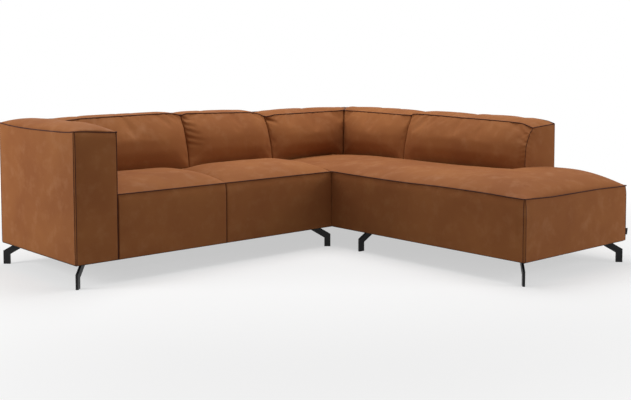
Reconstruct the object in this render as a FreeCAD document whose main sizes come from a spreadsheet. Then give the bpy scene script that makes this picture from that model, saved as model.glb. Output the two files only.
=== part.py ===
import FreeCAD, Part
import os
import Sketcher

Vector = FreeCAD.Vector

# Corner sofa in two upholstered sections on bent bar legs, in millimetres.
# +X runs along the longer side, -Y is the front, +Z is up, z = 0 is the floor.
# The origin is the middle of the footprint, at floor level.

SIZES = {
    # Outline of the whole sofa
    "overall_width": 2470,
    "left_depth": 820,
    "right_width": 860,
    "chaise_reach": 1380,
    "section_gap": 1,
    # Upholstery heights
    "leg_clearance": 114,
    "seat_seam": 432,
    "chaise_seam": 420,
    "seat_crown": 56,
    "chaise_crown": 60,
    "back_height": 738,
    "left_back_rise": 18,
    "back_crown": 14,
    "arm_height": 750,
    "arm_crown": 20,
    # Upholstery widths and depths
    "arm_width": 230,
    "first_seat_width": 640,
    "first_back_width": 772,
    "back_depth_seat": 280,
    "back_depth_top": 202,
    "back_break": 440,
    "corner_back_run": 820,
    "side_back_run": 925,
    # Layers
    "leather": 2,
    "border_pad": 10,
    "soft_gap": 0.3,
    "arm_padding": 36,
    "top_padding": 30,
    "dust_cloth": 1,
    "strap": 2,
    # Timber frame
    "rail_height": 150,
    "rail_thickness": 30,
    "post_width": 50,
    "arm_board": 12,
    "leg_board": 28,
    "leg_block": 112,
    "mid_block_length": 145,
    "mid_block_width": 90,
    # Seat springs and back straps
    "spring_wire": 4,
    "spring_wave": 46,
    "spring_bearing": 20,
    "strap_height": 50,
    "strap_first": 330,
    "strap_pitch": 115,
    # Legs
    "bar_width": 35,
    "bar_thickness": 12,
    "foot_height": 71,
    "bar_slope": 30,
    "leg_inset": 8,
    "leg_plate": 4,
    "plate_length": 100,
    "plate_width": 56,
    "plate_reach": 66,
    "cloth_margin": 1,
    "mid_leg_offset": 220,
    # Bolts under the leg plates and through the arm
    "bolt_radius": 4,
    "bolt_head_radius": 7.5,
    "bolt_head_height": 5.5,
    "leg_bolt_length": 30,
    "leg_bolt_reach": 154.5,
    "hole_clearance": 0.3,
    # Hooks and sockets that hold the sections together
    "hook_plate": 3,
    "hook_plate_width": 60,
    "hook_plate_height": 80,
    "hook_level": 205,
    "hook_drop": 26,
    "hook_width": 36,
    "hook_thickness": 4,
    "hook_slack": 0.6,
    "hook_first": 150,
    "hook_second": 560,
}
SEAT_SPRING_COUNT = 4
CHAISE_SPRING_COUNT = 6
END_SPRING_COUNT = 2
HALF_WAVE_COUNT = 9
BACK_STRAP_COUNT = 3

doc = FreeCAD.newDocument("corner_sofa")
sheet = doc.addObject("Spreadsheet::Sheet", "sizes")
for row, (alias, value) in enumerate(SIZES.items(), start=1):
    sheet.set(f"A{row}", alias)
    sheet.set(f"B{row}", str(value))
    sheet.setAlias(f"B{row}", alias)
doc.recompute()


def size(name):
    """The value of one cell of the sheet."""
    return float(getattr(sheet, name))


def evaluate(text):
    """The value that an expression over the sheet has now."""
    return float(sheet.evalExpression(text))


# Places that several pieces share, as expressions over the sheet
LEFT = "(-sizes.overall_width / 2)"
RIGHT = "(sizes.overall_width / 2)"
REAR = "((sizes.left_depth + sizes.chaise_reach) / 2)"
END = f"(-{REAR})"
FRONT = f"({REAR} - sizes.left_depth)"
SPLIT = f"({RIGHT} - sizes.right_width)"
LEFT_STOP = f"({SPLIT} - sizes.section_gap)"
ARM_INNER = f"({LEFT} + sizes.arm_width)"
SEAT_SPLIT = f"({ARM_INNER} + sizes.first_seat_width)"
BACK_SPLIT = f"({ARM_INNER} + sizes.first_back_width)"
BACK_FACE = f"({REAR} - sizes.back_depth_seat)"
SIDE_BACK_FACE = f"({RIGHT} - sizes.back_depth_seat)"
SIDE_BACK_END = f"({FRONT} - sizes.side_back_run)"
SIDE_BACK_SPLIT = f"({REAR} - sizes.corner_back_run)"
SKIN = "(sizes.leather + sizes.border_pad)"
SOFT = "(sizes.leather + sizes.soft_gap)"
RAIL = "sizes.rail_thickness"
BOTTOM = "sizes.leg_clearance"
FRAME = "(sizes.leg_clearance + sizes.dust_cloth)"
DECK = f"({FRAME} + sizes.rail_height)"
FOAM = f"({DECK} + sizes.spring_wire + sizes.soft_gap)"
TOP_RAIL = f"(sizes.back_height - sizes.leather - sizes.top_padding)"
LEFT_BACK_SEAM = "(sizes.back_height + sizes.left_back_rise)"
ARM_TOP = f"(sizes.arm_height - sizes.leather - sizes.arm_padding)"
# How far a cutting block or an open side runs past its piece, and a length beyond every piece
REACH = 60
LONG = 4000
# Where the arm bolts sit, as shares of the section's depth and of the rail's height
ARM_BOLT_DEPTHS = (0.2, 0.8)
ARM_BOLT_HEIGHTS = (0.35, 0.75)

finished = []


def keep(item, label):
    """Marks a finished sub-part; its label names its file."""
    item.Label = label
    finished.append(item)
    return item


def place(item, x="0", y="0", z="0", turn=0, axis=(0, 0, 1)):
    """Moves a piece to a point given by expressions, turned by some degrees about an axis."""
    item.Placement = FreeCAD.Placement(Vector(), FreeCAD.Rotation(Vector(*axis), turn))
    for side, text in (("x", x), ("y", y), ("z", z)):
        item.setExpression(f"Placement.Base.{side}", text)
    return item


def span(low, length):
    """The two ends of a stretch that starts at a place."""
    return (low, f"({low} + {length})")


def back_span(high, length):
    """The two ends of a stretch that stops at a place."""
    return (f"({high} - {length})", high)


def board(name, x, y, z):
    """A rectangular piece between two expressions along each axis."""
    piece = doc.addObject("Part::Box", name)
    for side, (low, high) in (("Length", x), ("Width", y), ("Height", z)):
        piece.setExpression(side, f"{high} - {low}")
    return place(piece, x[0], y[0], z[0])


def cut(name, base, tool):
    piece = doc.addObject("Part::Cut", name)
    piece.Base = base
    piece.Tool = tool
    return piece


def fuse(name, shapes):
    piece = doc.addObject("Part::MultiFuse", name)
    piece.Shapes = shapes
    return piece


def common(name, shapes):
    piece = doc.addObject("Part::MultiCommon", name)
    piece.Shapes = shapes
    return piece


def group(name, shapes):
    """Separate solids that share one node."""
    piece = doc.addObject("Part::Compound", name)
    piece.Links = shapes
    return piece


def arch(name, along, middle, width, seam, crown, inset):
    """A lying cylinder whose top makes a crown over a width, lowered by an inset."""
    drum = doc.addObject("Part::Cylinder", name)
    radius = f"(({width} / 2) * ({width} / 2) + {crown} * {crown}) / (2 * {crown})"
    drum.setExpression("Radius", f"{radius} - {inset}")
    drum.Height = LONG
    level = f"{seam} + {crown} - {radius}"
    if along == "x":
        place(drum, str(-LONG / 2), middle, level, 90, (0, 1, 0))
    else:
        place(drum, middle, str(LONG / 2), level, 90, (1, 0, 0))
    return drum


def crowned(name, x, y, low, seam, crown, inset="0", opening=()):
    """A block whose top is arched both ways; an inset shrinks it except at its openings."""
    def moved(side, text, sign):
        if side in opening:
            return f"({text} {'-' if sign > 0 else '+'} {REACH})"
        return f"({text} {'+' if sign > 0 else '-'} {inset})"

    block = board(
        f"{name}_block",
        (moved("left", x[0], 1), moved("right", x[1], -1)),
        (moved("front", y[0], 1), moved("back", y[1], -1)),
        (moved("bottom", low, 1) if "bottom" in opening else low, f"({seam} + 2 * {crown})"),
    )
    spans = {"x": (y, f"({y[1]} - {y[0]})"), "y": (x, f"({x[1]} - {x[0]})")}
    drums = [
        arch(f"{name}_arch_{along}", along, f"({ends[0]} + {ends[1]}) / 2", width, seam, crown, inset)
        for along, (ends, width) in spans.items()
    ]
    return common(name, [block] + drums)


def tie(sketch, kind, geometry, point, text):
    """A distance from the sketch's origin, bound to the sheet."""
    number = sketch.addConstraint(
        Sketcher.Constraint(kind, -1, 1, geometry, point, evaluate(text))
    )
    sketch.setExpression(f"Constraints[{number}]", text)


def draw(sketch, points):
    """Closed straight-sided outline whose corners are expressions."""
    spots = [Vector(evaluate(u), evaluate(v), 0) for u, v in points]
    first = sketch.GeometryCount
    count = len(spots)
    for i in range(count):
        sketch.addGeometry(Part.LineSegment(spots[i], spots[(i + 1) % count]), False)
    for i in range(count):
        after = first + (i + 1) % count
        sketch.addConstraint(Sketcher.Constraint("Coincident", first + i, 2, after, 1))
    for i, (u, v) in enumerate(points):
        tie(sketch, "DistanceX", first + i, 1, u)
        tie(sketch, "DistanceY", first + i, 1, v)


def outline(name, points):
    """A sketch standing in the XZ plane, with a closed outline whose corners are expressions."""
    sketch = doc.addObject("Sketcher::SketchObject", name)
    sketch.Placement = FreeCAD.Placement(Vector(), FreeCAD.Rotation(Vector(1, 0, 0), 90))
    draw(sketch, points)
    return sketch


def extrude(name, sketch, length):
    """The solid that an upright sketch sweeps along Y."""
    solid = doc.addObject("Part::Extrusion", name)
    solid.Base = sketch
    solid.DirMode = "Custom"
    solid.Dir = Vector(0, 1, 0)
    solid.setExpression("LengthFwd", length)
    solid.Solid = True
    return solid


def arm():
    """Box arm: boards on a thick base board, wrapped in foam and leather."""
    x = (f"({LEFT} + {SKIN})", f"({ARM_INNER} - {SKIN})")
    y = (f"({FRONT} + {SKIN})", f"({REAR} - {SKIN})")
    wall = "sizes.arm_board"
    base_top = f"({FRAME} + sizes.leg_board)"
    top_low = f"({ARM_TOP} - {wall})"
    z = (base_top, top_low)
    keep(cut("arm_base_drilled", board("arm_base_board", x, y, (FRAME, base_top)),
             bolt_holes("arm_base_holes", LEFT_LEGS[:2])), "left_arm_base_board")
    keep(board("arm_top_board", x, y, (top_low, ARM_TOP)), "left_arm_top_board")
    outer = board("arm_outer_panel", (x[0], f"({x[0]} + {wall})"), y, z)
    inner = board("arm_inner_panel", (f"({x[1]} - {wall})", x[1]), y, z)
    across = (f"({x[0]} + {wall})", f"({x[1]} - {wall})")
    front = board("arm_front_panel", across, (y[0], f"({y[0]} + {wall})"), z)
    rear = board("arm_rear_panel", across, (f"({y[1]} - {wall})", y[1]), z)
    holes = bolt_row("arm_panel_hole", "sizes.hole_clearance", False)
    keep(group("arm_side_panels", [outer, cut("arm_inner_drilled", inner, holes)]),
         "left_arm_side_panels")
    keep(group("arm_end_panels", [front, rear]), "left_arm_end_panels")

    outline_x = (LEFT, ARM_INNER)
    outline_y = (FRONT, REAR)
    shape = ("sizes.arm_height", "sizes.arm_crown")
    beside_frame = (x[1], f"({ARM_INNER} + {REACH})")
    below_seat = (f"({BOTTOM} - {REACH})", FOAM)
    frame_side = board("arm_frame_side", beside_frame, y, below_seat)
    cover_side = board("arm_cover_side", beside_frame,
                       (f"({FRONT} + sizes.leather)", f"({REAR} - sizes.leather)"), below_seat)
    shell = crowned("arm_shell", outline_x, outline_y, BOTTOM, *shape)
    core = crowned("arm_core", outline_x, outline_y, BOTTOM, *shape, "sizes.leather", ("bottom",))
    keep(cut("arm_cover", cut("arm_skin", shell, core), cover_side), "left_arm_cover")
    foam = crowned("arm_foam_block", outline_x, outline_y, FRAME, *shape, SOFT)
    boards = board("arm_board_space", x, y, (f"({BOTTOM} - {REACH})", ARM_TOP))
    keep(cut("arm_foam", foam, fuse("arm_foam_void", [boards, frame_side])), "left_arm_foam")


def bolt_row(name, clearance, headed):
    """Four bolts along X that hold the arm to the seat frame, or the holes for them."""
    start = f"({ARM_INNER} - {SKIN} - sizes.arm_board)"
    length = f"(sizes.arm_board + {RAIL})"
    parts = []
    for i, along in enumerate(ARM_BOLT_DEPTHS):
        for j, level in enumerate(ARM_BOLT_HEIGHTS):
            y = f"{FRONT} + {along} * sizes.left_depth"
            z = f"{FRAME} + {level} * sizes.rail_height"
            shank = doc.addObject("Part::Cylinder", f"{name}_shank_{i}{j}")
            shank.setExpression("Radius", f"sizes.bolt_radius + {clearance}")
            shank.setExpression("Height", length)
            place(shank, start, y, z, 90, (0, 1, 0))
            if not headed:
                parts.append(shank)
                continue
            head = doc.addObject("Part::Prism", f"{name}_head_{i}{j}")
            head.Polygon = 6
            head.setExpression("Circumradius", "sizes.bolt_head_radius")
            head.setExpression("Height", "sizes.bolt_head_height")
            place(head, f"{start} - sizes.bolt_head_height", y, z, 90, (0, 1, 0))
            parts.append(fuse(f"{name}_{i}{j}", [shank, head]))
    return group(name, parts)


def spring(name, start, across, length, turn):
    """One zigzag seat spring; its wave runs along its own X, from a start point."""
    wire = size("spring_wire")
    wave = size("spring_wave") - wire
    bearing = size("spring_bearing")
    step = (length - 2 * bearing) / HALF_WAVE_COUNT
    half_flat = step / 6
    path = [Vector(wire / 2, -wave / 2, 0), Vector(bearing, -wave / 2, 0)]
    side = -1
    for i in range(HALF_WAVE_COUNT):
        middle = bearing + (i + 0.5) * step
        path.append(Vector(middle - half_flat, side * wave / 2, 0))
        side = -side
        path.append(Vector(middle + half_flat, side * wave / 2, 0))
    path.append(Vector(length - bearing, side * wave / 2, 0))
    path.append(Vector(length - wire / 2, side * wave / 2, 0))
    line = Part.makePolygon(path)
    sides = [
        [v.Point for v in line.makeOffset2D(shift, 2, False, True).OrderedVertexes]
        for shift in (wire / 2, -wire / 2)
    ]
    ring = sides[0] + sides[1][::-1]
    solid = Part.Face(Part.makePolygon(ring + ring[:1])).extrude(Vector(0, 0, wire))
    solid.Placement = FreeCAD.Placement(
        Vector(start, across, evaluate(DECK)) if turn == 0 else Vector(across, start, evaluate(DECK)),
        FreeCAD.Rotation(Vector(0, 0, 1), turn),
    )
    return solid


def springs(label, rows):
    """A node of seat springs: each row is (first end, last end, start, stop, count, turn)."""
    solids = []
    for low, high, start, stop, count, turn in rows:
        low, high, start, stop = (evaluate(text) for text in (low, high, start, stop))
        pitch = (high - low) / count
        for i in range(count):
            solids.append(spring(label, start, low + (i + 0.5) * pitch, stop - start, turn))
    node = doc.addObject("Part::Feature", label)
    node.Shape = Part.makeCompound(solids)
    return keep(node, label)


def leg_bolt(name, clearance, headed, length):
    """The bolt through a leg plate in the leg's own frame, or the hole for it."""
    low = f"({FRAME} - sizes.leg_plate)"
    shank = doc.addObject("Part::Cylinder", f"{name}_shank")
    shank.setExpression("Radius", f"sizes.bolt_radius + {clearance}")
    shank.setExpression("Height", length)
    place(shank, "sizes.leg_bolt_reach", "0", low)
    if not headed:
        return group(name, [shank])
    head = doc.addObject("Part::Prism", f"{name}_head")
    head.Polygon = 6
    head.setExpression("Circumradius", "sizes.bolt_head_radius")
    head.setExpression("Height", "sizes.bolt_head_height")
    place(head, "sizes.leg_bolt_reach", "0", f"{low} - sizes.bolt_head_height")
    return fuse(name, [shank, head])


def origin_plane(body, role):
    """One of the three planes of a body's own origin."""
    return next(f for f in body.Origin.OriginFeatures if f.Role == role)


def leg(label):
    """Flat bar with an upright foot and a sloping arm up to a drilled plate."""
    body = doc.addObject("PartDesign::Body", label)
    top = f"({FRAME} - sizes.leg_plate)"
    run = f"(({top} - sizes.foot_height) / tan(sizes.bar_slope))"
    rise = "(sizes.bar_width * tan((90 - sizes.bar_slope) / 2))"
    slab = "(sizes.bar_width / sin(sizes.bar_slope))"
    points = [
        ("0", "0"),
        ("sizes.bar_width", "0"),
        ("sizes.bar_width", f"(sizes.foot_height - {rise})"),
        (f"({run} + {slab})", top),
        (run, top),
        ("0", "sizes.foot_height"),
    ]
    points = [(f"({u} + sizes.leg_inset)", v) for u, v in points]
    profile = body.newObject("Sketcher::SketchObject", f"{label}_profile")
    draw(profile, points)
    profile.AttachmentSupport = [(origin_plane(body, "XZ_Plane"), "")]
    profile.MapMode = "FlatFace"
    bar = body.newObject("PartDesign::Pad", f"{label}_bar")
    bar.Profile = profile
    bar.Midplane = True
    bar.setExpression("Length", "sizes.bar_thickness")
    plan = body.newObject("Sketcher::SketchObject", f"{label}_plan")
    near = "sizes.plate_reach"
    far = "(sizes.plate_reach + sizes.plate_length)"
    half = "(sizes.plate_width / 2)"
    draw(plan, [(near, f"(-{half})"), (far, f"(-{half})"), (far, half), (near, half)])
    radius = "(sizes.bolt_radius + sizes.hole_clearance)"
    circle = Part.Circle(Vector(size("leg_bolt_reach"), 0, 0), Vector(0, 0, 1), evaluate(radius))
    hole = plan.addGeometry(circle, False)
    tie(plan, "DistanceX", hole, 3, "sizes.leg_bolt_reach")
    tie(plan, "DistanceY", hole, 3, "0")
    number = plan.addConstraint(Sketcher.Constraint("Radius", hole, evaluate(radius)))
    plan.setExpression(f"Constraints[{number}]", radius)
    plan.AttachmentSupport = [(origin_plane(body, "XY_Plane"), "")]
    plan.MapMode = "FlatFace"
    plan.setExpression("AttachmentOffset.Base.z", top)
    plate = body.newObject("PartDesign::Pad", f"{label}_plate")
    plate.Profile = plan
    plate.setExpression("Length", "sizes.leg_plate")
    return keep(body, label)


LEFT_LEGS = (
    ("left_leg_front_arm", LEFT, FRONT, 45),
    ("left_leg_rear_arm", LEFT, REAR, -45),
    ("left_leg_front_joint", LEFT_STOP, FRONT, 135),
    ("left_leg_rear_joint", LEFT_STOP, REAR, -135),
)
MID_LEG = f"({FRONT} - sizes.mid_leg_offset)"
RIGHT_LEGS = (
    ("right_leg_rear_joint", SPLIT, REAR, -45),
    ("right_leg_rear_corner", RIGHT, REAR, -135),
    ("right_leg_middle_inner", SPLIT, MID_LEG, 0),
    ("right_leg_middle_outer", RIGHT, MID_LEG, 180),
    ("right_leg_end_inner", SPLIT, END, 45),
    ("right_leg_end_outer", RIGHT, END, 135),
)


def legs(label, rows):
    """The legs of one section, each in its own node, and a node of their bolts."""
    bolts = []
    for name, x, y, turn in rows:
        place(leg(name), x, y, "0", turn)
        bolt = leg_bolt(f"{name}_bolt", "0", True, "sizes.leg_bolt_length")
        bolts.append(place(bolt, x, y, "0", turn))
    keep(group(label, bolts), label)


def bolt_holes(name, rows):
    """The holes that the leg bolts need in the timber over them."""
    tools = []
    for leg_name, x, y, turn in rows:
        hole = leg_bolt(f"{name}_{leg_name}", "sizes.hole_clearance", False, "2 * sizes.leg_board")
        tools.append(place(hole, x, y, "0", turn))
    return group(name, tools)


def plate_windows(name, rows):
    """Openings in the dust cloth round the leg plates."""
    tools = []
    margin = "sizes.cloth_margin"
    for leg_name, x, y, turn in rows:
        window = board(
            f"{name}_{leg_name}_window",
            (f"(sizes.plate_reach - {margin})",
             f"(sizes.plate_reach + sizes.plate_length + {margin})"),
            (f"(-sizes.plate_width / 2 - {margin})", f"(sizes.plate_width / 2 + {margin})"),
            (f"({BOTTOM} - {REACH})", f"({BOTTOM} + {REACH})"),
        )
        tools.append(place(group(f"{name}_{leg_name}", [window]), x, y, "0", turn))
    return fuse(name, tools)


def seat(number, x, y, seam, crown, notch=None, aprons=()):
    """Seat foam and its leather cover, which runs down over the base as aprons."""
    side = "right" if notch else "left"
    tag = f"{side}_seat_{number}"
    shape = (seam, crown)
    shell = crowned(f"{tag}_shell", x, y, FOAM, *shape)
    core = crowned(f"{tag}_core", x, y, FOAM, *shape, "sizes.leather", ("bottom", "back"))
    foam = crowned(f"{tag}_foam_block", x, y, FOAM, *shape, SOFT)
    skin = cut(f"{tag}_skin", shell, core)
    if notch:
        skin = cut(f"{tag}_skin_notched", skin, notch("sizes.soft_gap", "cover"))
        foam = cut(f"{tag}_foam_notched", foam, notch(SOFT, "foam"))
    flaps = [
        board(f"{tag}_apron_{i}", *flap, (BOTTOM, FOAM)) for i, flap in enumerate(aprons)
    ]
    keep(fuse(f"{tag}_cover", [skin] + flaps), f"{side}_seat_cover_{number}")
    keep(foam, f"{side}_seat_foam_{number}")


def mitre(name, end, length, inset):
    """A block that cuts one end of a back at 45 degrees; an inset moves the cut inwards."""
    block = doc.addObject("Part::Box", name)
    block.Length = LONG
    block.Width = LONG
    block.Height = LONG
    shift = f"({inset} / sin(45))"
    if end == "far":
        return place(block, str(-REACH), f"{length} + {REACH} - {shift}", str(-REACH), -45)
    on_cut = LONG / 4
    return place(block, str(on_cut), f"{on_cut} + {shift}", str(-REACH), 225)


def back(side, number, x, y, turn, length, corner=None, free_end=False):
    """Back upholstery of one bay, upright behind and sloping in front, in a frame of its own:
    its X is the depth into the room and its Y runs along the wall."""
    tag = f"{side}_back_{number}"
    seam = LEFT_BACK_SEAM if side == "left" else "sizes.back_height"
    top = f"({seam} + sizes.back_crown)"
    post_face = f"({SKIN} + {RAIL} + sizes.strap)"

    def wedge(name, inset, rear, low, ends):
        seat_depth = f"(sizes.back_depth_seat - {inset})"
        points = [
            (rear, low),
            (seat_depth, low),
            (seat_depth, "sizes.back_break"),
            (f"(sizes.back_depth_top - {inset})", top),
            (rear, top),
        ]
        solid = extrude(f"{name}_wedge", outline(f"{name}_profile", points),
                        f"{length} - 2 * {ends}")
        place(solid, "0", ends, "0")
        drum = arch(f"{name}_arch", "x", f"{length} / 2", length, seam, "sizes.back_crown", inset)
        solid = common(f"{name}_block", [solid, drum])
        if corner:
            solid = cut(f"{name}_mitred", solid, mitre(f"{name}_mitre", corner, length, inset))
        return solid

    def frame_space(name):
        far = f"({length} - {SKIN})" if free_end else f"({length} + {REACH})"
        return board(name, (str(-REACH), post_face), (str(-REACH), far),
                     (f"({FOAM} - {REACH})", TOP_RAIL))

    shell = wedge(f"{tag}_shell", "0", "sizes.leather", FOAM, "0")
    core = wedge(f"{tag}_core", "sizes.leather", str(-REACH), f"({FOAM} - {REACH})",
                 "sizes.leather")
    foam = wedge(f"{tag}_foam_block", SOFT, SOFT, FOAM, SOFT)
    cover = cut(f"{tag}_cover", cut(f"{tag}_skin", shell, core), frame_space(f"{tag}_cover_space"))
    foam = cut(f"{tag}_foam", foam, frame_space(f"{tag}_foam_space"))
    keep(place(cover, x, y, "0", turn), f"{side}_back_cover_{number}")
    keep(place(foam, x, y, "0", turn), f"{side}_back_foam_{number}")


def straps(name, x, y):
    """Elastic straps across the back frame, one above the other."""
    return [
        board(f"{name}_{i}", x, y,
              span(f"(sizes.strap_first + {i} * sizes.strap_pitch)", "sizes.strap_height"))
        for i in range(BACK_STRAP_COUNT)
    ]


def left_section():
    """Two seats between the arm and the joint with the right section."""
    x_arm = f"({ARM_INNER} - {SKIN})"
    x_joint = f"({LEFT_STOP} - {SKIN})"
    y_front = f"({FRONT} + {SKIN})"
    y_rear = f"({REAR} - {SKIN})"
    between = (f"({x_arm} + {RAIL})", f"({x_joint} - {RAIL})")
    z = (FRAME, DECK)
    front = board("left_front_rail", between, span(y_front, RAIL), z)
    rear = board("left_rear_rail", between, back_span(y_rear, RAIL), z)
    keep(group("left_long_rails", [front, rear]), "left_long_rails")
    arm_side = board("left_arm_side_rail", span(x_arm, RAIL), (y_front, y_rear), z)
    drilled = cut("left_arm_side_rail_drilled", arm_side,
                  bolt_row("arm_rail_hole", "sizes.hole_clearance", False))
    joint_side = board("left_joint_side_rail", back_span(x_joint, RAIL), (y_front, y_rear), z)
    keep(group("left_side_rails", [drilled, joint_side]), "left_side_rails")
    keep(bolt_row("left_arm_bolt_set", "0", True), "left_arm_bolts")
    deck = board("left_deck_rail", between, span(BACK_FACE, RAIL), z)
    centre = board("left_centre_rail", span(f"({SEAT_SPLIT} - {RAIL} / 2)", RAIL),
                   (f"({y_front} + {RAIL})", BACK_FACE), z)
    keep(group("left_deck_rails", [deck, centre]), "left_deck_rails")

    block_x = back_span(between[1], "sizes.leg_block")
    block_z = span(FRAME, "sizes.leg_board")
    blocks = group("left_blocks", [
        board("left_front_block", block_x, span(f"({y_front} + {RAIL})", "sizes.leg_block"), block_z),
        board("left_rear_block", block_x, back_span(f"({y_rear} - {RAIL})", "sizes.leg_block"), block_z),
    ])
    keep(cut("left_leg_blocks", blocks, bolt_holes("left_block_holes", LEFT_LEGS[2:])),
         "left_leg_blocks")

    wire_front = f"({y_front} + {RAIL} - sizes.spring_bearing)"
    wire_rear = f"({BACK_FACE} + sizes.spring_bearing)"
    springs("left_seat_springs", [
        (between[0], f"({SEAT_SPLIT} - {RAIL} / 2)", wire_front, wire_rear,
         SEAT_SPRING_COUNT, 90),
        (f"({SEAT_SPLIT} + {RAIL} / 2)", between[1], wire_front, wire_rear,
         SEAT_SPRING_COUNT, 90),
    ])
    for number, x in ((1, (ARM_INNER, SEAT_SPLIT)), (2, (SEAT_SPLIT, LEFT_STOP))):
        seat(number, x, (FRONT, BACK_FACE), "sizes.seat_seam", "sizes.seat_crown",
             aprons=[(x, span(FRONT, "sizes.leather"))])
    keep(board("left_front_pad", (ARM_INNER, LEFT_STOP),
               (f"({FRONT} + sizes.leather)", y_front), (FRAME, FOAM)), "left_front_pad")

    post_y = back_span(y_rear, RAIL)
    post_z = (DECK, f"({TOP_RAIL} - {RAIL})")
    half = "sizes.post_width / 2"
    posts = [
        board("left_post_arm", span(ARM_INNER, "sizes.post_width"), post_y, post_z),
        board("left_post_centre", (f"({BACK_SPLIT} - {half})", f"({BACK_SPLIT} + {half})"),
              post_y, post_z),
        board("left_post_joint", back_span(x_joint, "sizes.post_width"), post_y, post_z),
        board("left_top_rail", (ARM_INNER, x_joint), post_y, (post_z[1], TOP_RAIL)),
    ]
    keep(group("left_back_frame", posts), "left_back_frame")
    strap_y = back_span(post_y[0], "sizes.strap")
    keep(group("left_back_straps", straps("left_strap", (ARM_INNER, x_joint), strap_y)),
         "left_back_straps")
    keep(board("left_back_panel", (ARM_INNER, LEFT_STOP), (y_rear, f"({REAR} - sizes.leather)"),
               (FRAME, TOP_RAIL)), "left_back_panel")
    keep(board("left_rear_cover", (ARM_INNER, LEFT_STOP), back_span(REAR, "sizes.leather"),
               (BOTTOM, LEFT_BACK_SEAM)), "left_rear_cover")
    back("left", 1, ARM_INNER, REAR, -90, "sizes.first_back_width")
    back("left", 2, BACK_SPLIT, REAR, -90, f"({LEFT_STOP} - {BACK_SPLIT})")

    cloth = board("left_cloth", (f"({LEFT} + sizes.leather)", LEFT_STOP),
                  (f"({FRONT} + sizes.leather)", f"({REAR} - sizes.leather)"), (BOTTOM, FRAME))
    keep(cut("left_dust_cloth", cloth, plate_windows("left_windows", LEFT_LEGS)),
         "left_dust_cloth")
    legs("left_leg_bolts", LEFT_LEGS)


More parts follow.
